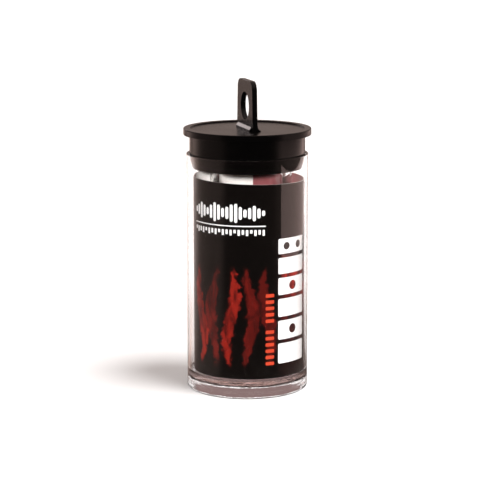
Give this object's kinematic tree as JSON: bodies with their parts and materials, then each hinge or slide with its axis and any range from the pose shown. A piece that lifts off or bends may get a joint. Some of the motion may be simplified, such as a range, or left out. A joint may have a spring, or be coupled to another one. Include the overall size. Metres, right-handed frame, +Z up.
{
  "type": "packed glass bottle guitar slide",
  "caption": "Glass bottle slide standing in a clear vial with a rolled printed card, closed by a push-in stopper with an upright hang tab.",
  "frame": {"origin": "centre of the tube's base, on the tube's axis, at the surface it stands on", "axes": "+Z up along the tube's axis; the hang tab's plate lies in the YZ plane, so a peg goes through its hole along X"},
  "size_m": [0.042, 0.042, 0.1025],
  "materials": {
    "clear_plastic": "clear, polished moulding",
    "black_plastic": "satin black polyethylene",
    "printed_card": "coated card, black and red print outside, white inside",
    "slide_glass": "clear, fire-polished"
  },
  "bodies": {
    "tube": {"tube": "clear_plastic"},
    "stopper": {"stopper": "black_plastic"},
    "label_card": {"label_card": "printed_card"},
    "glass_slide": {"glass_slide": "slide_glass"}
  },
  "joints": [
    {"name": "stopper_lift", "type": "slide", "parent": "tube", "child": "stopper", "axis": [0, 0, 1], "range_m": [0, 0.24]},
    {"name": "slide_lift", "type": "slide", "parent": "tube", "child": "glass_slide", "axis": [0, 0, 1], "range_m": [0, 0.15]},
    {"name": "card_lift", "type": "slide", "parent": "tube", "child": "label_card", "axis": [0, 0, 1], "range_m": [0, 0.08]}
  ],
  "couplings": [
    {"joint": "slide_lift", "follows": "stopper_lift", "ratio": 0.62},
    {"joint": "card_lift", "follows": "stopper_lift", "ratio": 0.33}
  ]
}
